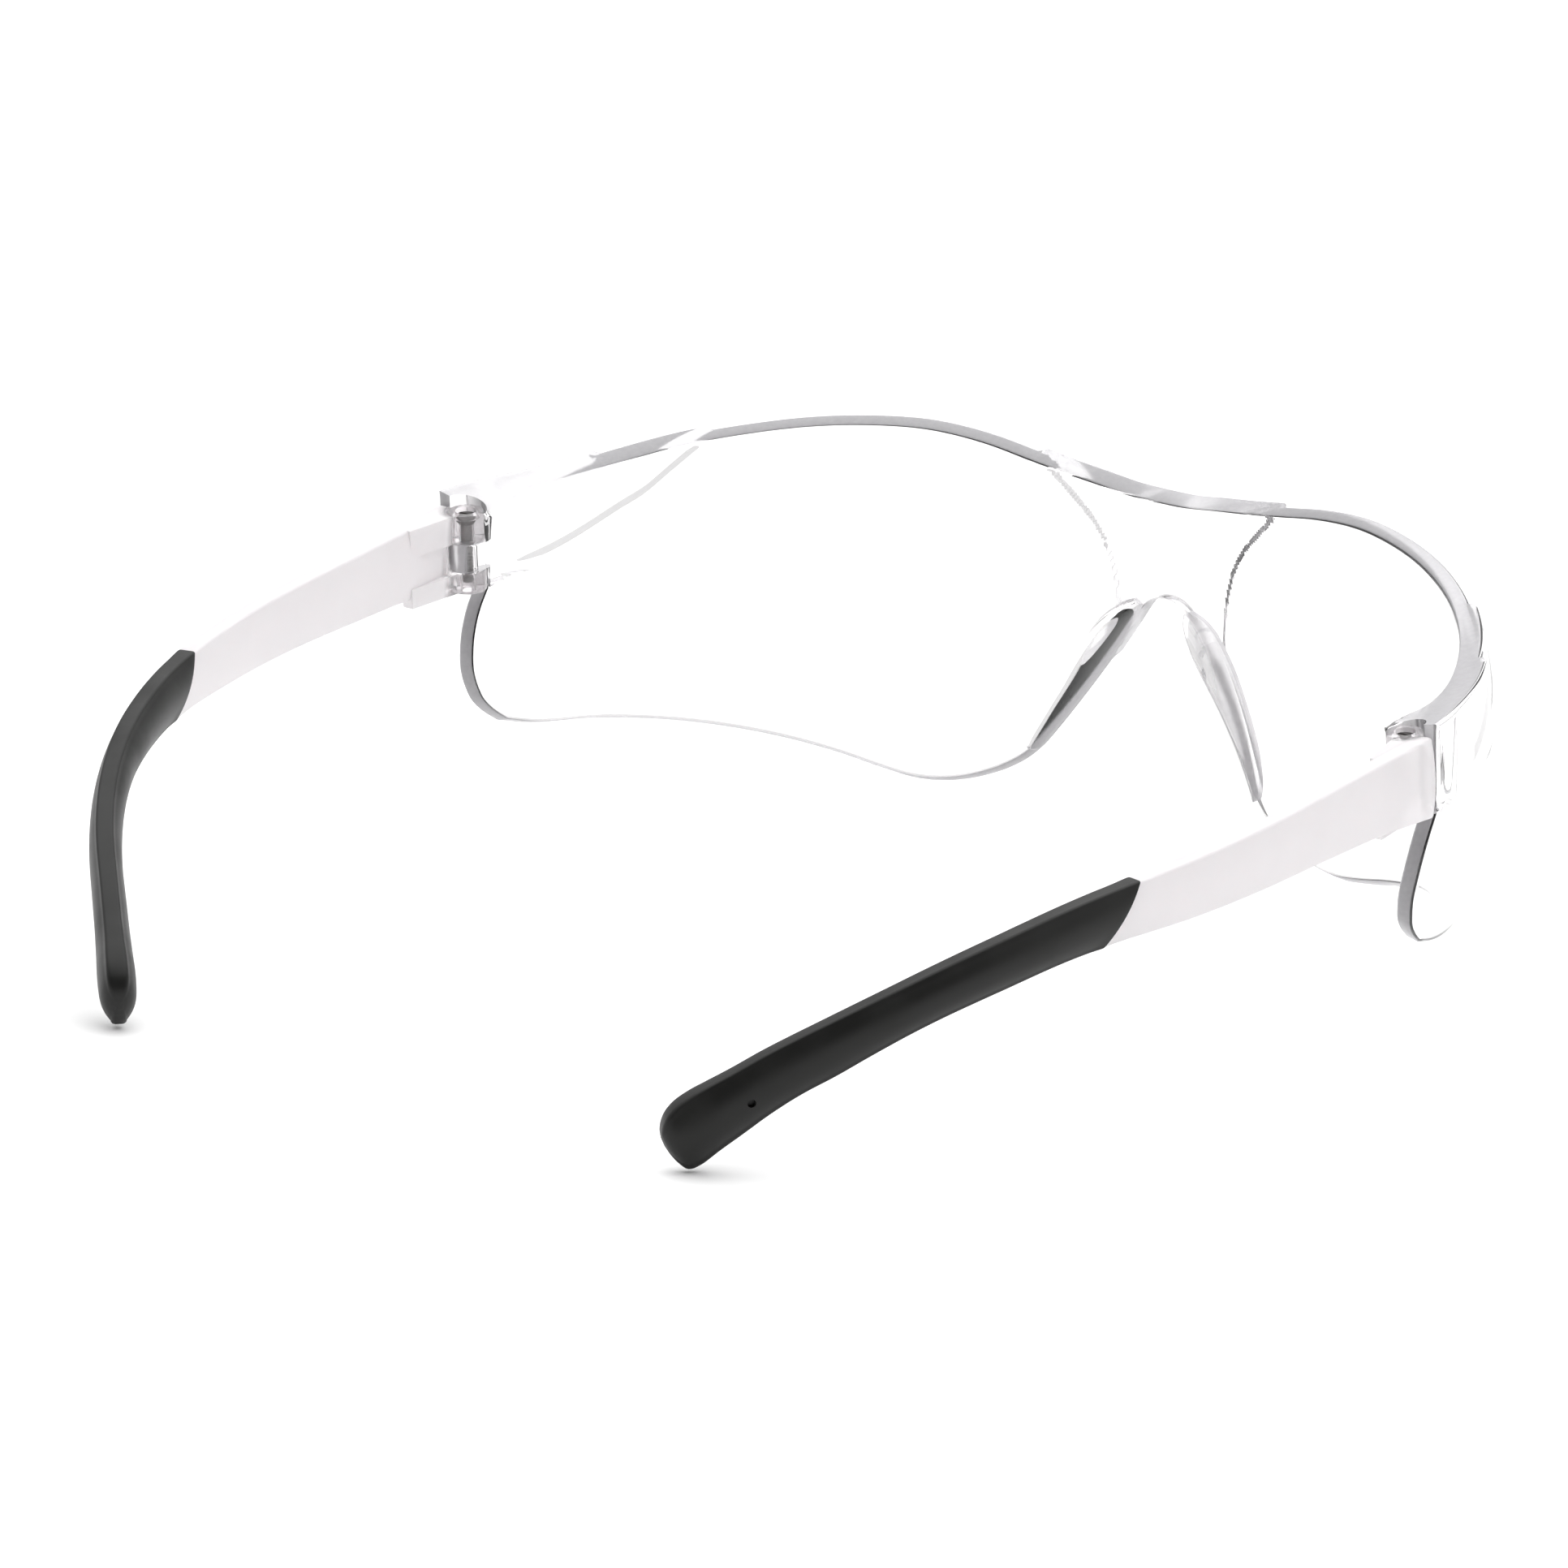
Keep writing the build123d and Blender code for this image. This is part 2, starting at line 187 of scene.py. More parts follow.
class Room(Finish):
    """The surroundings under construction."""

    def __init__(self, name):
        self.world = bpy.data.worlds.new(name)
        self.world.use_nodes = True
        self.tree = self.world.node_tree
        self.tree.nodes.clear()

    def lit(self, colour, strength):
        """Makes the walls shine with a colour."""
        wall = self.node("ShaderNodeBackground", None, colour, strength)["Background"]
        self.node("ShaderNodeOutputWorld", None, Surface=wall)


def shade(colour, amount):
    """A colour made lighter or darker."""
    return (*(min(1.0, part * amount) for part in colour[:3]), 1.0)


def rim_mask(finish):
    """1 on the lens's rims, which face across its curve, and 0 on its two faces."""
    spot = finish.node("ShaderNodeSeparateXYZ", None, finish.place())
    facing = finish.node("ShaderNodeSeparateXYZ", None, finish.node("ShaderNodeTexCoord")["Normal"])
    flat = EYE_X * MM
    middle = finish.node("ShaderNodeClamp", None, Value=spot["X"], Min=-flat, Max=flat)["Result"]
    out_x, out_y = spot["X"] - middle, spot["Y"] - (HINGE.y + EYE_Y * MM)
    out_z = spot["Z"] - EYE_Z * MM
    outward = facing["X"] * out_x + facing["Y"] * out_y + facing["Z"] * out_z
    radius = (EYE_RADIUS - WALL / 2) * MM
    thickness = out_x * out_x + out_y * out_y + out_z * out_z
    edge = 1 - (outward * outward / radius ** 2).above(0.15, 0.6)
    return edge * thickness.above((radius - 0.0021) ** 2, (radius - 0.0014) ** 2)


def hinge_mask(finish, reach):
    """1 within a reach of either hinge's axis, and 0 away from it."""
    spot = finish.node("ShaderNodeSeparateXYZ", None, finish.place())
    across = (spot["X"] * spot["X"]) ** 0.5 - HINGE.x
    behind = spot["Y"] - HINGE.y
    return 1 - ((across * across + behind * behind) ** 0.5).above(0.8 * reach, 1.25 * reach)


def clear_polycarbonate(look):
    """Polished clear plastic, hazed a little by wiping and satin on its moulded rims, where a grey is
    painted in as shade for the tone that refraction gives the rims.
    """
    finish = Finish("clear_polycarbonate", look.lens_colour)
    haze = finish.noise(0.011, detail=4.0).above(0.45, 0.75)
    ripple = finish.noise(0.018, detail=0.0)
    grind = finish.noise(0.0007, detail=3.0)
    rim = rim_mask(finish)
    clear = finish.plastic(**{
        "Base Color": shade(look.lens_colour, 1.0),
        "Roughness": haze * 0.012 + rim * (0.16 + 0.12 * grind),
        "IOR": 1.586,
        "Transmission Weight": 1.0,
        "Normal": finish.bump(ripple, 0.00002, 0.3),
    })
    # The rims' satin roughness is their moulded finish; their grey colour is painted shade, standing
    # in for the tone that refraction gives the clear rims.
    satin_and_painted_shade = finish.plastic(**{
        "Base Color": shade(look.rim_painted_shade_colour, 1.0),
        "Roughness": 0.35 + 0.15 * grind,
        "IOR": 1.586,
        "Normal": finish.bump(grind, 0.00001, 0.3),
    })
    # Up to about two thirds of each rim is the satin shader with its painted grey shade.
    return finish.finished(finish.partly(rim * (0.5 + 0.14 * grind), clear, satin_and_painted_shade))


def frosted_polycarbonate(look):
    """Translucent plastic out of a fine sand-blasted mould, nearly clear at its knuckles."""
    finish = Finish("frosted_polycarbonate", look.arm_colour)
    grain = finish.noise(0.00012, detail=3.0, roughness=0.6)
    cloud = finish.noise(0.006, detail=2.0)
    colour = finish.mix(cloud.above(0.2, 0.8), shade(look.arm_colour, 0.985),
                        shade(look.arm_colour, 1.01))
    frosted = finish.plastic(**{
        "Base Color": colour,
        "Roughness": 0.42 + 0.08 * cloud,
        "IOR": 1.586,
        "Transmission Weight": 0.35,
        "Subsurface Weight": 0.35,
        "Subsurface Radius": (1.0, 0.9, 0.9),
        "Subsurface Scale": 0.002,
        "Normal": finish.bump(grain, 0.00001, 0.35),
    })
    glassy = finish.plastic(**{
        "Base Color": shade(look.arm_colour, 1.0),
        "Roughness": 0.05 + 0.05 * cloud,
        "IOR": 1.25,
        "Transmission Weight": 1.0,
    })
    knuckle = hinge_mask(finish, 0.0028)
    return finish.finished(finish.partly(knuckle * 0.85, frosted, glassy))


def black_rubber(look):
    """Satin overmoulded rubber, a little dusty where it has been handled."""
    finish = Finish("black_rubber", look.grip_colour)
    grain = finish.noise(0.00018, detail=4.0, roughness=0.65)
    smear = finish.noise(0.007, detail=4.0).above(0.42, 0.78)
    colour = finish.mix(smear * 0.35, shade(look.grip_colour, 1.0), shade(look.grip_colour, 1.9))
    return finish.finished(finish.plastic(**{
        "Base Color": colour,
        "Roughness": 0.4 + 0.14 * smear,
        "Specular IOR Level": 0.3,
        "Sheen Weight": 0.03,
        "Sheen Roughness": 0.4,
        "Normal": finish.bump(grain, 0.000014, 0.5),
    }))


def dark_steel(look):
    """Small turned steel screw, darkened by its coating and rubbed on its edges."""
    finish = Finish("dark_screw_steel", look.screw_colour)
    turning = finish.noise(0.0002, detail=3.0, roughness=0.7)
    wear = finish.noise(0.0009, detail=3.0).above(0.45, 0.7)
    colour = finish.mix(wear, shade(look.screw_colour, 0.8), shade(look.screw_colour, 1.35))
    return finish.finished(finish.plastic(**{
        "Base Color": colour,
        "Metallic": 1.0,
        "Roughness": 0.28 + 0.22 * turning,
        "Normal": finish.bump(turning, 0.000004, 0.5),
    }))


def studio_floor(look):
    """Plain pale board."""
    finish = Finish("studio_floor", look.floor_colour)
    tooth = finish.noise(0.0016, detail=3.0)
    return finish.finished(finish.plastic(**{
        "Base Color": shade(look.floor_colour, 1.0),
        "Roughness": 0.8 + 0.1 * tooth,
        "Specular IOR Level": 0.1,
    }))


FINISHES = {
    "clear_lens": clear_polycarbonate,
    "frosted_arm": frosted_polycarbonate,
    "rubber_grip": black_rubber,
    "screw_steel": dark_steel,
}


def finish_for(slot):
    """The material of a record's material slot, made once."""
    name = "glasses_" + slot
    made = bpy.data.materials.get(name)
    if made is None:
        made = FINISHES[slot](bpy.context.scene.glasses_look)
        made.name = name
    return made


# ---------------------------------------------------------------- pieces
CREASE = math.radians(35.0)


def dress(name, mesh, slot, body, nodes):
    """Shades a mesh, and sets it riding on a body in place of CAD nodes."""
    piece = bpy.data.objects.new(name, mesh)
    bpy.context.scene.collection.objects.link(piece)
    tidy_normals(mesh)
    mesh.materials.clear()
    mesh.materials.append(finish_for(slot))
    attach(piece, body)
    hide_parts(*nodes)
    return piece


def tidy_normals(mesh):
    """Turns faces outwards, and shades smoothly except across creases."""
    work = bmesh.new()
    work.from_mesh(mesh)
    bmesh.ops.remove_doubles(work, verts=work.verts, dist=1e-7)
    bmesh.ops.recalc_face_normals(work, faces=work.faces)
    for face in work.faces:
        face.smooth = True
    for edge in work.edges:
        edge.smooth = len(edge.link_faces) == 2 and edge.calc_face_angle(0.0) < CREASE
    work.to_mesh(mesh)
    work.free()


def on_hinge(shape, side):
    """A shape in millimetres in the right hinge's frame, carried to either hinge in metres."""
    points, faces = shape
    x, y, z = np.asarray(points, dtype=float).T * MM
    upright, rearward = SCREW_UP.z, -SCREW_UP.y
    along = HINGE.y + upright * y - rearward * z
    return np.column_stack((side * (HINGE.x + x), along, HINGE.z + rearward * y + upright * z)), faces


# ---------------------------------------------------------------- shapes
DRUM_SIDES = 64


def through(points):
    """Smooth curve through (place, height) points, as a function of the place."""
    places, heights = np.array(points, dtype=float).T
    slopes = np.gradient(heights, places)

    def curve(place):
        place = np.clip(place, places[0], places[-1])
        span = np.clip(np.searchsorted(places, place) - 1, 0, len(places) - 2)
        width = places[span + 1] - places[span]
        u = (place - places[span]) / width
        start, end = heights[span], heights[span + 1]
        bend = (slopes[span] * (1 - u) - slopes[span + 1] * u) * width
        lift = (1 - u) ** 2 * (1 + 2 * u) * start + u * u * (3 - 2 * u) * end
        return lift + u * (1 - u) * bend

    return curve


def step(value):
    """0 below 0, 1 above 1, and smooth between."""
    value = np.clip(value, 0.0, 1.0)
    return value * value * (3 - 2 * value)


def sheet_faces(rows, columns, start=0, closed=False):
    """Four-sided faces of a grid of points laid out row by row."""
    reach = columns if closed else columns - 1
    faces = []
    for row in range(rows - 1):
        for column in range(reach):
            beside = (column + 1) % columns
            near, far = start + row * columns, start + (row + 1) * columns
            faces.append((near + column, near + beside, far + beside, far + column))
    return faces


def capped_rings(rings):
    """Closed skin over rings of points, with a fan at each end."""
    count, size = rings.shape[:2]
    points = [tuple(point) for point in rings.reshape(-1, 3)]
    faces = sheet_faces(count, size, closed=True)
    for first, inward in ((0, 1), ((count - 1) * size, -1)):
        points.append(tuple(rings[0 if inward > 0 else -1].mean(axis=0)))
        hub = len(points) - 1
        for place in range(size):
            faces.append((first + place, first + (place + 1) % size, hub)[::-inward])
    return np.array(points), faces


def round_turn(count):
    """Angles spaced evenly round a circle."""
    return np.linspace(0, 2 * math.pi, count, endpoint=False)


def level_circle(radius, height, turns):
    """Points round the upright axis."""
    return [(radius * math.cos(turn), radius * math.sin(turn), height) for turn in turns]


def drum(radius, low, high, softness=0.0):
    """Upright cylinder with softened edges."""
    corner = [(1 - math.sin(turn), 1 - math.cos(turn)) for turn in np.linspace(0, math.pi / 2, 4)]
    low_edge = [(radius - softness * a, low + softness * b) for a, b in corner]
    high_edge = [(radius - softness * a, high - softness * b) for a, b in reversed(corner)]
    profile = low_edge + high_edge if softness else [(radius, low), (radius, high)]
    turns = round_turn(DRUM_SIDES)
    return capped_rings(np.array([level_circle(*spot, turns) for spot in profile]))


def post(corners, low, high):
    """Upright prism on a plan given by its corners."""
    rings = [[(x, y, height) for x, y in corners] for height in (low, high)]
    return capped_rings(np.array(rings, dtype=float))


def plain_object(name, points, faces):
    """Object with its faces turned outwards and no material."""
    mesh = bpy.data.meshes.new(name)
    mesh.from_pydata([tuple(point) for point in points], [], faces)
    work = bmesh.new()
    work.from_mesh(mesh)
    bmesh.ops.recalc_face_normals(work, faces=work.faces)
    work.to_mesh(mesh)
    work.free()
    made = bpy.data.objects.new(name, mesh)
    bpy.context.scene.collection.objects.link(made)
    return made


def carved(name, base, added, removed):
    """Mesh of a base shape with shapes united to it, then others cut out of it."""
    helpers = []
    piece = plain_object(name, *base)
    for operation, shapes in (("UNION", added), ("DIFFERENCE", removed)):
        for shape in shapes:
            helper = plain_object(name + "_tool", *shape)
            helpers.append(helper)
            cut = piece.modifiers.new(operation, "BOOLEAN")
            cut.operation, cut.solver, cut.object = operation, "MANIFOLD", helper
    seen = bpy.context.evaluated_depsgraph_get()
    mesh = bpy.data.meshes.new_from_object(piece.evaluated_get(seen))
    for spare in (*helpers, piece):
        bpy.data.objects.remove(spare)
    return mesh


# ---------------------------------------------------------------- lens shape
EYE_RADIUS = 49.5
EYE_X, EYE_Y, EYE_Z = 19.4, 0.45, 23.4
WALL = 2.1
RIM_ROUND = 0.4
BAND_FLOOR = 25.15
NOTCH_LEAN = math.radians(32.4)
NOTCH_APEX, NOTCH_ROUND = 27.1, 4.2
NOTCH_SIDE_X = NOTCH_ROUND * math.cos(NOTCH_LEAN)
NOTCH_SIDE_Z = NOTCH_APEX - NOTCH_ROUND * (1 - math.sin(NOTCH_LEAN))
BRIDGE_RISE, BRIDGE_BLEND = 0.9, 0.7
WING_RISE, WING_BLEND = 0.8, 1.1
TEMPLE_X = 55.0
KNUCKLE_RADIUS, SWING_RADIUS = 2.2, 2.5
LENS_KNUCKLE = (-6.65, -3.15)
ARM_KNUCKLES = ((-3.0, 0.5), (-9.3, -6.8))
BORE_RADIUS, SCREW_RADIUS, HEAD_RADIUS = 0.75, 0.7, 1.2


def level_radius(height):
    """Radius of the lens's outer face at a height."""
    return np.sqrt(EYE_RADIUS ** 2 - (height - EYE_Z) ** 2)


def girth_at_width(width, height):
    """Distance round the lens from its middle to a place a width from the middle."""
    past = np.clip((width - EYE_X) / level_radius(height), 0.0, 1.0)
    return np.where(width < EYE_X, width, EYE_X + EYE_RADIUS * np.arcsin(past))


def girth_at_depth(depth, height):
    """The same, to a place beside the temple a depth ahead of the hinge line."""
    return EYE_X + EYE_RADIUS * np.arccos((depth - EYE_Y) / level_radius(height))


def notch_and_brow():
    """Lower and upper rim heights, as functions of the distance round the lens."""
    low = [(x, NOTCH_APEX - NOTCH_ROUND + math.sqrt(NOTCH_ROUND ** 2 - x * x))
           for x in (0.0, 0.8, 1.6, 2.4, 3.0, 3.546)]
    low += [(x, NOTCH_SIDE_Z - (x - NOTCH_SIDE_X) / math.tan(NOTCH_LEAN))
            for x in np.arange(5.0, 15.0, 1.5)]
    low += [(15.6, 6.3), (17.2, 4.6), (19.3, 3.1)]
    low += [(float(girth_at_width(x, z)), z) for x, z in (
        (22.0, 1.75), (26.0, 0.45), (30.6, 0.0), (35.5, 0.7), (40.0, 1.75), (46.9, 3.3),
        (55.6, 5.1), (61.3, 6.2))]
    low += [(float(girth_at_depth(y, z)), z) for y, z in ((9.6, 7.2), (6.0, 8.1))]
    high = [(0.0, 40.3), (4.0, 40.4), (8.8, 41.0), (13.0, 41.5), (17.0, 42.1)]
    high += [(float(girth_at_width(x, z)), z) for x, z in (
        (24.4, 43.3), (31.5, 43.9), (38.1, 43.6), (45.0, 42.8), (51.2, 41.6), (56.7, 40.25))]
    high += [(float(girth_at_depth(y, z)), z) for y, z in (
        (21.9, 38.6), (14.1, 37.1), (4.2, 36.1), (0.0, 35.6))]
    return through(low), through(high)


def lens_end():
    """Where the lens ends beside the hinge, as a function of height."""
    edge = through([(7.0, 7.2), (8.1, 6.0), (9.3, 4.2), (10.8, 2.6), (12.7, 1.65), (14.6, 1.2),
                    (17.3, 1.4), (20.1, 2.1), (22.5, 3.1), (24.6, 4.3), (25.2, 4.6)])

    def girth(height):
        butt = 0.2 + (HINGE.z / MM - height) * math.tan(math.radians(6.0))
        depth = edge(height) + (butt - edge(height)) * step((height - BAND_FLOOR + 0.1) / 0.4)
        return girth_at_depth(depth, height)

    return girth


def away_from(line, across, up):
    """Distance from a curve, negative below it."""
    slope = (line(across + 0.05) - line(across - 0.05)) / 0.1
    return (up - line(across)) / np.sqrt(1 + slope ** 2)


def lens_grids():
    """Points of the outer and inner faces of the lens, row by row, in hinge-line millimetres."""
    low_rim, high_rim = notch_and_brow()
    end_girth = lens_end()
    near_notch = np.array([0.0, 0.85, 1.5, 2.2, 2.8, 3.2, 3.5, 3.75, 4.0, 4.3, 4.7, 5.2])
    above = np.linspace(0, 1, 76)[1:]
    last_row = len(near_notch) + len(above)
    columns = np.concatenate((np.linspace(0, 0.21, 70), np.linspace(0.21, 0.99, 150)[1:],
                              [1.0]))
    columns = np.concatenate((-columns[:0:-1], columns))
    rows = []
    for count in range(last_row + 1):
        def height_at(girth, count=count):
            low, high = low_rim(girth), high_rim(girth)
            if count < len(near_notch):
                return low + near_notch[count]
            if count == last_row:
                return high
            start = low + near_notch[-1]
            return start + (high - 0.85 - start) * above[count - len(near_notch)]

        reach = 95.0
        for _ in range(40):
            reach = 0.5 * reach + 0.5 * float(end_girth(height_at(reach)))
        girth = columns * reach
        rows.append((girth, height_at(np.abs(girth))))
    girth, height = (np.array(part) for part in zip(*rows))
    side = np.sign(girth)
    flat = np.minimum(np.abs(girth), EYE_X)
    turn = (np.abs(girth) - flat) / EYE_RADIUS
    level = level_radius(height)
    out = np.stack((side * level * np.sin(turn), level * np.cos(turn), height - EYE_Z), axis=-1)
    out /= EYE_RADIUS
    face = out * EYE_RADIUS
    face[..., 0] += side * flat
    face[..., 1] += EYE_Y
    face[..., 2] += EYE_Z
    return face, out


BRIDGE_EDGE = [(17.0, 7.9), (27.8, 7.9), (30.0, 8.4), (32.5, 9.3), (35.1, 10.8), (38.1, 13.5),
               (41.7, 16.9), (43.5, 18.6)]
WING_EDGE = [(-8.0, 25.15), (0.0, 25.3), (6.5, 25.9), (11.6, 26.6), (18.2, 28.6), (23.6, 31.8),
             (26.4, 33.9), (28.0, 36.0), (30.3, 39.6), (31.5, 41.8)]


def ramp(distance, width):
    """0 to 1 across an edge blended over a width."""
    return step(distance / width + 0.5)


def hinge_end(x, z):
    """1 above the floor of the hinge end beside the temple, and 0 elsewhere."""
    return step((z - BAND_FLOOR + 0.05) / 0.35) * (x > TEMPLE_X)


def pad_heights(face):
    """How far the raised bands and the hinge end stand out from the outer face."""
    x, y, z = np.abs(face[..., 0]), face[..., 1], face[..., 2]
    edge = through(BRIDGE_EDGE)(z)
    bridge = BRIDGE_RISE * ramp(edge - x, BRIDGE_BLEND) * (z > 17.0)
    inward = away_from(through(WING_EDGE), np.clip(y, -7.9, 31.4), z)
    wing = WING_RISE * ramp(inward, WING_BLEND)
    wing = wing * (y < 30.8) * (x > 40)
    swell = through([(0.0, 4.3), (3.0, 3.75), (7.0, 2.5), (11.0, 1.1), (16.0, -0.9), (22.0, -4.0)])
    reach = HINGE.x / MM + swell(np.clip(y, 0, 22)) - x
    bulk = np.clip(reach, 0, None) * hinge_end(x, z) * (y < 20)
    return np.maximum(np.maximum(bridge, wing), bulk)


def inner_depths(face):
    """How far the hinge end stands in from the inner face."""
    x, y, z = np.abs(face[..., 0]), face[..., 1], face[..., 2]
    bulk = through([(0.0, 1.55), (3.4, 1.5), (7.7, 0.1), (9.0, 0.0)])(np.clip(y, 0, 9))
    return bulk * hinge_end(x, z) * (y < 9)


def nose_flange(side):
    """Rounded wall of the nosepiece, standing back from the lens along one side of its notch."""
    depth_at = through([(5.5, 0.3), (7.0, 0.9), (9.0, 1.5), (12.0, 2.2), (15.6, 3.0), (19.0, 3.8),
                        (21.0, 4.15), (23.0, 4.15), (24.5, 3.6), (25.5, 2.6), (26.2, 1.2)])
    half_at = through([(5.5, 0.45), (7.0, 0.9), (10.0, 1.3), (15.0, 1.55), (22.0, 1.6), (24.0, 1.45),
                       (25.3, 1.1), (26.2, 0.6)])
    turns = round_turn(56)
    wide, deep = np.cos(turns), np.sin(turns)
    rings = []
    for height in 16.3 - 9.9 * np.cos(np.linspace(0, math.pi, 90)):
        half, depth = float(half_at(height)), float(depth_at(height))
        inside = EYE_Y + math.sqrt((EYE_RADIUS - WALL) ** 2 - (height - EYE_Z) ** 2)
        across = (NOTCH_SIDE_X + (NOTCH_SIDE_Z - height) * math.tan(NOTCH_LEAN)
                  + half / math.cos(NOTCH_LEAN))
        x = across + half * wide * math.cos(NOTCH_LEAN)
        z = height + half * wide * math.sin(NOTCH_LEAN)
        y = inside + 0.9 - np.where(deep > 0, depth + 0.9, 0.6) * deep
        rings.append(np.column_stack((side * x, y + HINGE.y / MM, z)))
    points, faces = capped_rings(np.array(rings))
    return np.asarray(points) * MM, faces


def border(grid):
    """Points round the edge of a grid, once round."""
    return np.concatenate((grid[0, :-1], grid[:-1, -1], grid[-1, :0:-1], grid[:0:-1, 0]))


def lens_shape():
    """Closed skin of the lens: both faces and a softened edge all round."""
    face, out = lens_grids()
    outer = face + out * pad_heights(face)[..., None]
    inner = face - out * (WALL + inner_depths(face))[..., None]
    out_edge, in_edge, normal = border(outer), border(inner), border(out)
    along = np.roll(out_edge, -1, axis=0) - np.roll(out_edge, 1, axis=0)
    aside = np.cross(normal, along)
    aside /= np.linalg.norm(aside, axis=1, keepdims=True)
    through_wall = in_edge - out_edge
    through_wall /= np.linalg.norm(through_wall, axis=1, keepdims=True)
    bends = np.linspace(0, math.pi / 2, 4)
    rings = [out_edge - aside * RIM_ROUND * (1 - math.sin(turn))
             + through_wall * RIM_ROUND * (1 - math.cos(turn)) for turn in bends]
    rings += [in_edge - aside * RIM_ROUND * (1 - math.sin(turn))
              - through_wall * RIM_ROUND * (1 - math.cos(turn)) for turn in bends[::-1]]
    count, width = outer.shape[:2]
    outer[0, :], outer[-1, :], outer[:, 0], outer[:, -1] = spread(rings[0], count, width)
    inner[0, :], inner[-1, :], inner[:, 0], inner[:, -1] = spread(rings[-1], count, width)
    points = np.concatenate((outer.reshape(-1, 3), inner.reshape(-1, 3),
                             np.array(rings[1:-1]).reshape(-1, 3)))
    faces = sheet_faces(count, width) + sheet_faces(count, width, start=count * width)
    index = np.arange(count * width).reshape(count, width)
    size = len(out_edge)
    loops = [border(index)]
    loops += [2 * count * width + ring * size + np.arange(size) for ring in range(len(rings) - 2)]
    loops.append(border(index) + count * width)
    for near, far in zip(loops, loops[1:]):
        for place in range(size):
            beside = (place + 1) % size
            faces.append((near[place], near[beside], far[beside], far[place]))
    faces = [tuple(int(corner) for corner in face) for face in faces]
    points[:, 1] += HINGE.y / MM
    return points * MM, faces


def spread(loop, count, width):
    """A border's points as the first and last rows and columns of its grid."""
    first = loop[:width - 1]
    right = loop[width - 1:width + count - 2]
    last = loop[width + count - 2:2 * width + count - 3]
    left = loop[2 * width + count - 3:]
    bottom = np.concatenate((first, right[:1]))
    side = np.concatenate((right, last[:1]))
    top = np.concatenate((left[:1], last[::-1]))
    other = np.concatenate((first[:1], left[::-1]))
    return bottom, top, other, side


# ---------------------------------------------------------------- arm and grip shapes
ARM_OFFSET = 2.8
EAR_BEND, EAR_TURN = 130.7, math.radians(18.0)
HOOK_BEND, HOOK_TURN = 69.0, math.radians(41.0)
ARM_STRAIGHT = 27.5


def plan(run):
    """Middle line of an arm seen from above, a run back from the hinge: place and heading."""
    run = np.asarray(run, dtype=float)
    ear = np.clip((run - ARM_STRAIGHT) / EAR_BEND, 0, EAR_TURN)
    hook = np.clip((run - ARM_STRAIGHT - EAR_BEND * EAR_TURN) / HOOK_BEND, 0,
                   HOOK_TURN - EAR_TURN)
    heading = ear + hook
    straight = np.minimum(run, ARM_STRAIGHT)
    past = np.clip(run - ARM_STRAIGHT - EAR_BEND * EAR_TURN - HOOK_BEND * (HOOK_TURN - EAR_TURN),
                   0, None)
    x = ARM_OFFSET - EAR_BEND * (1 - np.cos(ear))
    x = x - HOOK_BEND * (math.cos(EAR_TURN) - np.cos(EAR_TURN + hook)) * (hook > 0)
    x = x - past * math.sin(HOOK_TURN)
    y = -straight - EAR_BEND * np.sin(ear)
    y = y - HOOK_BEND * (np.sin(EAR_TURN + hook) - math.sin(EAR_TURN)) * (hook > 0)
    y = y - past * math.cos(HOOK_TURN)
    return x, y, heading


def barrel(half_height, middle, top, foot, corner):
    """Cross-section of an arm: flat above and below, bowed at its sides, with round corners."""
    corner = min(corner, 0.8 * half_height, 0.8 * min(top, foot))
    bends = np.linspace(0, math.pi / 2, 5)
    upper = [(top - corner + corner * math.sin(turn), half_height - corner * (1 - math.cos(turn)))
             for turn in bends]
    level = half_height - corner
    rises = np.linspace(level, -level, 15)[1:-1]
    mean = top + (foot - top) * (level - rises) / (2 * level)
    bow = mean + (middle - (top + foot) / 2) * (1 - (rises / level) ** 2)
    lower = [(foot - corner + corner * math.cos(turn), -half_height + corner * (1 - math.sin(turn)))
             for turn in bends]
    outside = [(0.0, half_height), *upper, *zip(bow, rises), *lower, (0.0, -half_height)]
    inside = [(-width, rise) for width, rise in outside[-2:0:-1]]
    return np.array(outside + inside)


def loft(stations, count):
    """Skin through cross-sections: (top run, top height, foot run, foot height, middle, top
    and foot half widths, corner), smoothed to a number of rings."""
    table = np.array(stations, dtype=float)
    order = np.arange(len(table))
    spots = np.linspace(0, len(table) - 1, count)
    smooth = np.column_stack([through(np.column_stack((order, table[:, column])))(spots)
                              for column in range(table.shape[1])])
    rings = []
    for top_run, top_height, foot_run, foot_height, middle, top, foot, corner in smooth:
        half = math.hypot(top_run - foot_run, top_height - foot_height) / 2
        section = barrel(half, middle, top, foot, corner)
        lift = (section[:, 1] / half + 1) / 2
        run = foot_run + (top_run - foot_run) * lift
        height = foot_height + (top_height - foot_height) * lift
        x, y, heading = plan(run)
        rings.append(np.column_stack((x + section[:, 0] * np.cos(heading),
                                      y - section[:, 0] * np.sin(heading), height)))
    return capped_rings(np.array(rings))


TOP_EDGE = through([(0, 0.5), (30, 0.5), (46, 0.5), (54, 0.42), (62.2, 0.0), (71.4, -1.2),
                    (80.1, -3.0), (88.2, -5.4), (96.0, -8.2), (101.6, -10.5)])
FOOT_EDGE = through([(0, -9.3), (4, -8.9), (8, -8.4), (20, -7.6), (46, -6.5), (59.5, -6.0),
                     (64.2, -6.2), (73.1, -7.4), (81.4, -9.2), (87.2, -11.1), (93.0, -13.6),
                     (96.8, -15.3)])


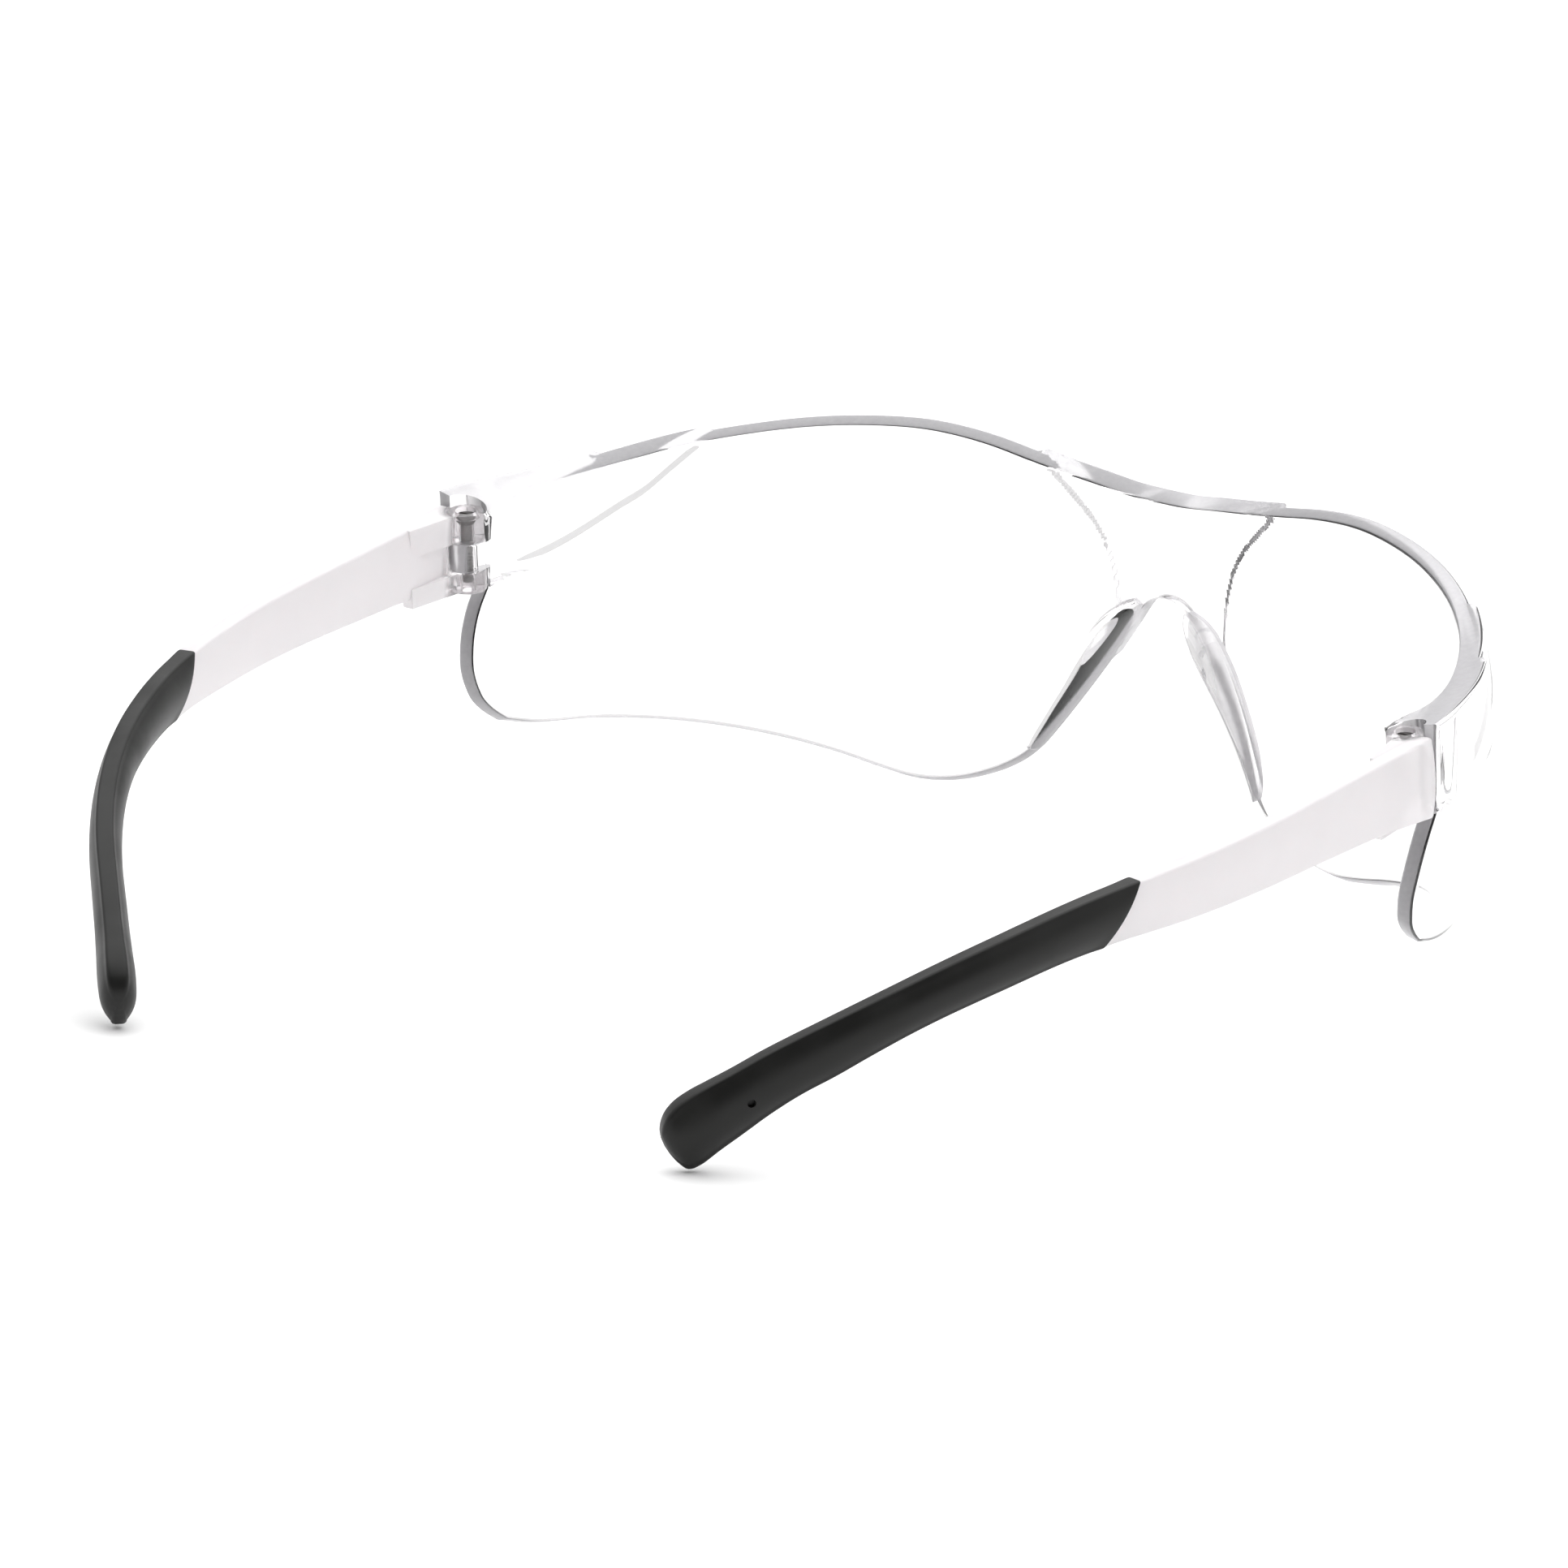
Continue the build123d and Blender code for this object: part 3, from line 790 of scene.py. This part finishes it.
def arm_shape():
    """Frosted arm back to where it runs into the grip."""
    stations = [(0.0, 0.3, 0.0, -9.1, 1.25, 0.85, 0.85, 0.3),
                (0.3, 0.5, 0.3, -9.3, 1.5, 1.1, 1.1, 0.35)]
    ends = [(run, 0.0) for run in np.linspace(2.0, 54.0, 27)]
    ends += [(54.5, 0.1), (55.1, 0.35), (57.0, 0.4), (60.0, 0.4)]
    for run, inset in ends:
        foot = run + 5.75 * float(step((run - 38.0) / 15.0))
        stations.append((run, TOP_EDGE(run) - inset, foot, FOOT_EDGE(foot) + inset,
                         1.5 - inset, 1.1 - inset, 1.1 - inset, 0.35))
    return loft(stations, 140)


def grip_shape():
    """Rubber grip from its lip on the arm to its rounded end behind the ear."""
    lip = [(54.0, 0.2, 59.7, -5.75, 1.42, 1.0, 1.0, 0.3),
           (53.75, 0.4, 59.5, -5.98, 1.62, 1.12, 1.12, 0.35),
           (54.0, 0.52, 59.7, -6.1, 1.78, 1.15, 1.15, 0.4)]
    body = []
    for run, slant, middle in ((56.5, 5.0, 1.85), (60.0, 3.9, 1.88), (64.0, 2.4, 1.9),
                               (68.0, 1.0, 1.9), (72.0, 0.0, 1.9), (77.0, -0.6, 1.9),
                               (82.0, -1.2, 1.9), (87.0, -1.9, 1.9), (92.0, -2.5, 1.9),
                               (97.0, -3.2, 1.9)):
        foot = run + slant
        body.append((run, TOP_EDGE(run) + 0.08, foot, FOOT_EDGE(foot) - 0.1, middle, 1.08, 1.05, 0.4))
    end = [(101.6, -10.4, 97.8, -15.8, 1.95, 1.08, 1.0, 0.4),
           (105.5, -12.2, 101.3, -17.7, 2.0, 1.1, 1.0, 0.45),
           (108.3, -13.4, 104.6, -19.8, 2.1, 1.15, 1.0, 0.5),
           (110.3, -14.3, 107.3, -21.5, 2.2, 1.25, 1.0, 0.55),
           (112.0, -15.3, 109.4, -22.9, 2.2, 1.3, 1.0, 0.6),
           (113.1, -16.4, 110.9, -23.35, 2.05, 1.3, 0.95, 0.6),
           (113.7, -17.5, 112.0, -22.6, 1.65, 1.15, 0.85, 0.55),
           (113.95, -18.5, 112.9, -21.5, 1.05, 0.8, 0.65, 0.4),
           (113.9, -19.4, 113.5, -20.5, 0.4, 0.35, 0.3, 0.15)]
    return loft(lip + body + end, 230)


def pin_mark():
    """Small blind hole in the outer face of a grip, left by the mould's core pin."""
    points, faces = drum(0.5, 1.3, 4.0)
    across, along, out = np.asarray(points).T
    x, y, heading = plan(103.8)
    return np.column_stack((x + out * math.cos(heading) - along * math.sin(heading),
                            y - out * math.sin(heading) - along * math.cos(heading),
                            across - 15.7)), faces


def knuckle_shapes():
    """The arm's upper and lower knuckles with the webs that carry them, in the hinge frame."""
    plan_corners = [(0.0, -0.07), (2.15, -0.07), (2.8, -9.0), (1.4, -9.0), (0.0, -2.17)]
    shapes = []
    for low, high in ARM_KNUCKLES:
        shapes.append(drum(KNUCKLE_RADIUS, low, high, 0.2))
        shapes.append(post(plan_corners, low + 0.03, high - 0.03))
    middle = [(1.6, -1.95), (2.45, -0.2), (2.7, -8.7), (1.5, -8.7), (0.9, -2.4)]
    shapes.append(post(middle, -6.9, -2.9))
    return shapes


def screw_shape():
    """Screw with a domed, slotted head and a cut thread, from its tip up."""
    tip, thread_top, pitch, depth = -8.2, -4.2, 0.35, 0.085
    heights = np.concatenate((np.linspace(tip, -1.6, 190), np.linspace(-1.55, -1.05, 6)))
    turns = round_turn(48)
    rings = [level_circle(SCREW_RADIUS / 2, tip - 0.1, turns)]
    for height in heights:
        fade = step((height - tip) / 0.5) * step((thread_top - height) / 0.3)
        phase = (height / pitch - turns / (2 * math.pi)) % 1.0
        groove = depth * (1 - np.abs(2 * phase - 1)) * fade
        radius = SCREW_RADIUS - 0.06 * (1 - step((height - tip) / 0.35)) - groove
        rings.append(np.column_stack((radius * np.cos(turns), radius * np.sin(turns),
                                      np.full(len(turns), height))))
    for inset, height in ((0.03, -0.28), (0.0, -0.22), (0.0, -0.1), (0.05, -0.03), (0.2, 0.03),
                          (0.5, 0.07), (0.9, 0.09)):
        rings.append(level_circle(HEAD_RADIUS - inset, height, turns))
    return capped_rings(np.array(rings))


# ---------------------------------------------------------------- add-on
class GlassesLook(bpy.types.PropertyGroup):
    """Colours of the glasses and of the board under them."""

    lens_colour: bpy.props.FloatVectorProperty(
        name="Lens colour", description="Tint of the clear plastic", subtype="COLOR",
        size=3, min=0.0, max=1.0, default=(0.965, 0.955, 0.96))
    # The rims' grey is painted shade, standing in for the tone that refraction gives the clear rims.
    rim_painted_shade_colour: bpy.props.FloatVectorProperty(
        name="Rim colour", description="Colour of the lens's satin rims", subtype="COLOR",
        size=3, min=0.0, max=1.0, default=(0.5, 0.49, 0.51))
    arm_colour: bpy.props.FloatVectorProperty(
        name="Arm colour", description="Colour of the frosted arms", subtype="COLOR",
        size=3, min=0.0, max=1.0, default=(0.9, 0.875, 0.888))
    grip_colour: bpy.props.FloatVectorProperty(
        name="Grip colour", description="Colour of the rubber", subtype="COLOR",
        size=3, min=0.0, max=1.0, default=(0.0055, 0.0055, 0.005))
    screw_colour: bpy.props.FloatVectorProperty(
        name="Screw colour", description="Colour of the hinge screws", subtype="COLOR",
        size=3, min=0.0, max=1.0, default=(0.1, 0.095, 0.09))
    floor_colour: bpy.props.FloatVectorProperty(
        name="Floor colour", description="Colour of the board under the glasses",
        subtype="COLOR", size=3, min=0.0, max=1.0, default=(0.95, 0.95, 0.95))


class StageSettings(bpy.types.PropertyGroup):
    """Camera and light."""

    lens_length: bpy.props.FloatProperty(
        name="Lens length", description="Focal length of the camera", subtype="DISTANCE_CAMERA",
        default=559.0, min=50.0)
    distance: bpy.props.FloatProperty(
        name="Camera distance", description="Camera to the glasses", unit="LENGTH",
        default=2.8167, min=0.5)
    turn: bpy.props.FloatProperty(
        name="Camera turn", description="How far round the glasses the camera stands",
        subtype="ANGLE", default=math.radians(35.565))
    height: bpy.props.FloatProperty(
        name="Camera height", description="Angle of the view above the table",
        subtype="ANGLE", default=math.radians(16.593))
    roll: bpy.props.FloatProperty(
        name="Camera roll", description="Lean of the camera", subtype="ANGLE",
        default=math.radians(2.0))
    aim: bpy.props.FloatVectorProperty(
        name="Aim", description="Point in the middle of the view", subtype="XYZ",
        unit="LENGTH", size=3, default=(-0.009942, 0.012763, 0.016051))
    top_light: bpy.props.FloatProperty(
        name="Top light", description="Power of the large light overhead", unit="POWER",
        default=23.0, min=0.0)
    surroundings: bpy.props.FloatProperty(
        name="Surroundings", description="Brightness of the room round the table",
        default=0.8, min=0.0)


class GLASSES_OT_lens(bpy.types.Operator):
    """Add the clear wrap-around lens with its nosepiece"""

    bl_idname = "glasses.lens"
    bl_label = "Lens"

    def execute(self, context):
        low, high = LENS_KNUCKLE
        knuckle = drum(KNUCKLE_RADIUS, low, high, 0.15)
        spaces = (drum(SWING_RADIUS, high + 0.01, 5.0), drum(SWING_RADIUS, -9.55, low - 0.01),
                  drum(BORE_RADIUS, low - 0.05, high + 0.05))
        added, removed = [], []
        for side in SIDES.values():
            added.append(nose_flange(side))
            added.append(on_hinge(knuckle, side))
            removed += [on_hinge(shape, side) for shape in spaces]
        mesh = carved("clear_lens", lens_shape(), added, removed)
        lens = dress("clear_lens", mesh, "clear_lens", "front", ["lens"])
        lens.visible_shadow = False
        return {"FINISHED"}


class GLASSES_OT_arms(bpy.types.Operator):
    """Add the two frosted arms"""

    bl_idname = "glasses.arms"
    bl_label = "Arms"

    def execute(self, context):
        bare, knuckles = arm_shape(), knuckle_shapes()
        spaces = (drum(SWING_RADIUS, ARM_KNUCKLES[1][1] + 0.01, ARM_KNUCKLES[0][0] - 0.01),
                  drum(SCREW_RADIUS + 0.02, -9.5, 0.0), drum(HEAD_RADIUS + 0.06, -0.4, 1.0))
        for name, side in SIDES.items():
            added = [on_hinge(shape, side) for shape in knuckles]
            removed = [on_hinge(shape, side) for shape in spaces]
            mesh = carved(name + "_arm", on_hinge(bare, side), added, removed)
            dress(name + "_frosted_arm", mesh, "frosted_arm", name + "_arm", [name + "_temple"])
        return {"FINISHED"}


class GLASSES_OT_grips(bpy.types.Operator):
    """Add the two rubber grips"""

    bl_idname = "glasses.grips"
    bl_label = "Grips"

    def execute(self, context):
        bare = grip_shape()
        for name, side in SIDES.items():
            mesh = carved(name + "_grip", on_hinge(bare, side), [],
                          [on_hinge(pin_mark(), side)])
            dress(name + "_rubber_grip", mesh, "rubber_grip", name + "_arm",
                  [name + "_temple_tip"])
        return {"FINISHED"}


class GLASSES_OT_screws(bpy.types.Operator):
    """Add the two threaded hinge screws"""

    bl_idname = "glasses.screws"
    bl_label = "Hinge screws"

    def execute(self, context):
        slot = post([(-1.5, -0.16), (1.5, -0.16), (1.5, 0.16), (-1.5, 0.16)], -0.35, 1.0)
        for name, side in SIDES.items():
            mesh = carved(name + "_screw", on_hinge(screw_shape(), side), [],
                          [on_hinge(slot, side)])
            dress(name + "_threaded_screw", mesh, "screw_steel", name + "_arm",
                  [name + "_hinge_screw"])
        return {"FINISHED"}


class GLASSES_OT_stage(bpy.types.Operator):
    """Add the floor, the lights and the camera"""

    bl_idname = "glasses.stage"
    bl_label = "Stage"

    def execute(self, context):
        settings = context.scene.glasses_stage
        add_floor(context.scene)
        add_lights(context.scene, settings)
        add_camera(context.scene, settings)
        return {"FINISHED"}


def add_floor(scene):
    """Wide board that the glasses rest on."""
    reach = 3.0
    corners = [(-reach, -reach, 0), (reach, -reach, 0), (reach, reach, 0), (-reach, reach, 0)]
    mesh = bpy.data.meshes.new("floor")
    mesh.from_pydata(corners, [], [(0, 1, 2, 3)])
    mesh.materials.append(studio_floor(scene.glasses_look))
    floor = bpy.data.objects.new("floor", mesh)
    floor.location.z = CAD_BOX[0].z - 0.00005
    scene.collection.objects.link(floor)


def add_lights(scene, settings):
    """A large soft light overhead, in a pale room whose end behind the camera is unlit."""
    lamp = bpy.data.lights.new("top_softbox", "AREA")
    lamp.shape = "RECTANGLE"
    lamp.size, lamp.size_y = 2.2, 2.2
    lamp.energy = settings.top_light
    light = bpy.data.objects.new("top_softbox", lamp)
    light.location = (0, 0.25, 1.1)
    scene.collection.objects.link(light)
    room = Room("studio_room")
    way = room.node("ShaderNodeSeparateXYZ", None, room.node("ShaderNodeTexCoord")["Generated"])
    camera_side = way["X"] * math.sin(settings.turn) - way["Y"] * math.cos(settings.turn)
    wall = room.mix(camera_side.above(0.3, 0.8), (1, 1, 1, 1), (0.05, 0.05, 0.05, 1))
    room.lit(wall, settings.surroundings)
    scene.world = room.world
    scene.view_settings.view_transform = "Standard"


def add_camera(scene, settings):
    """Long lens looking down on the glasses from behind the wearer's right shoulder."""
    turn, drop, roll = settings.turn, settings.height, settings.roll
    forward = Vector((-math.sin(turn) * math.cos(drop), math.cos(turn) * math.cos(drop),
                      -math.sin(drop)))
    level = Vector((math.cos(turn), math.sin(turn), 0))
    above = level.cross(forward)
    across = math.cos(roll) * level + math.sin(roll) * above
    upward = math.cos(roll) * above - math.sin(roll) * level
    eye = bpy.data.cameras.new("camera")
    eye.lens = settings.lens_length
    eye.sensor_width = 36.0
    eye.clip_end = 50.0
    camera = bpy.data.objects.new("camera", eye)
    place = Matrix((across, upward, -forward)).transposed().to_4x4()
    place.translation = Vector(settings.aim) - settings.distance * forward
    camera.matrix_world = place
    scene.collection.objects.link(camera)
    scene.camera = camera


class GLASSES_PT_panel(bpy.types.Panel):
    """Lists the pieces and the stage"""

    bl_label = "Safety Glasses"
    bl_idname = "GLASSES_PT_panel"
    bl_space_type = "VIEW_3D"
    bl_region_type = "UI"
    bl_category = "Safety Glasses"

    def draw(self, context):
        for group in (context.scene.glasses_look, context.scene.glasses_stage):
            for name in group.__annotations__:
                self.layout.prop(group, name)
        for operator in OPERATORS:
            self.layout.operator(operator.bl_idname)


OPERATORS = (GLASSES_OT_lens, GLASSES_OT_arms, GLASSES_OT_grips, GLASSES_OT_screws,
             GLASSES_OT_stage)
CLASSES = (GlassesLook, StageSettings, *OPERATORS, GLASSES_PT_panel)


def register():
    """Adds the classes and their settings to Blender."""
    for made in CLASSES:
        bpy.utils.register_class(made)
    bpy.types.Scene.glasses_look = bpy.props.PointerProperty(type=GlassesLook)
    bpy.types.Scene.glasses_stage = bpy.props.PointerProperty(type=StageSettings)


def unregister():
    """Takes them away again."""
    del bpy.types.Scene.glasses_stage
    del bpy.types.Scene.glasses_look
    for made in reversed(CLASSES):
        bpy.utils.unregister_class(made)


def main():
    """Adds every piece and the stage."""
    register()
    bpy.ops.glasses.lens()
    bpy.ops.glasses.arms()
    bpy.ops.glasses.grips()
    bpy.ops.glasses.screws()
    bpy.ops.glasses.stage()


if __name__ == "__main__":
    main()
